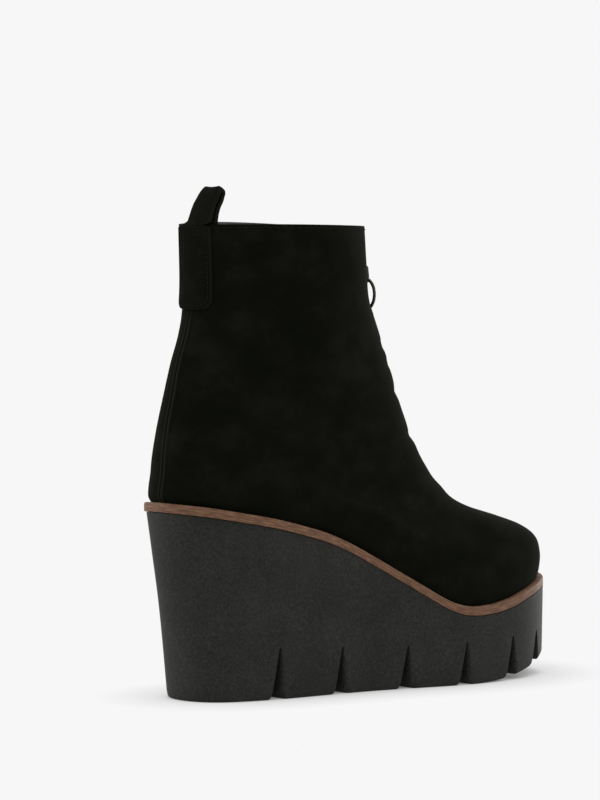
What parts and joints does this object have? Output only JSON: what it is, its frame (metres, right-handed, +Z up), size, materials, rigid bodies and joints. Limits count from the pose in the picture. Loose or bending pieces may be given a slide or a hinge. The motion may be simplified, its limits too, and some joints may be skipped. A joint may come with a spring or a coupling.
{
  "type": "wedge ankle boot",
  "caption": "Suede ankle boot for the right foot with a front zip and ring puller, a heel pull loop and a thick notched wedge sole.",
  "frame": {"origin": "on the floor, under the middle of the boot's box", "axes": "+X to the toe, +Y to the inner side of the foot, +Z up"},
  "size_m": [0.265, 0.0954, 0.2706],
  "materials": {
    "suede": "matte black suede with a soft nap",
    "rand_leather": "smooth brown leather look, satin",
    "wedge_rubber": "matte charcoal foam rubber, finely speckled",
    "lining": "plain dark lining",
    "zip_tape": "woven black tape with dark metal teeth",
    "zip_metal": "polished gunmetal"
  },
  "bodies": {
    "boot": {"outsole": "wedge_rubber", "midsole": "rand_leather", "insole": "lining", "upper": "suede", "pull_loop": "suede", "zip_tape_outer": "zip_tape", "zip_tape_inner": "zip_tape", "zip_slider": "zip_metal"},
    "ring": {"zip_ring": "zip_metal"}
  },
  "joints": [
    {"name": "ring_swing", "type": "hinge", "parent": "boot", "child": "ring", "pos_m": [0.00973, -0.00138, 0.2221], "axis": [0, -1, 0], "range_deg": [0, 170]}
  ]
}
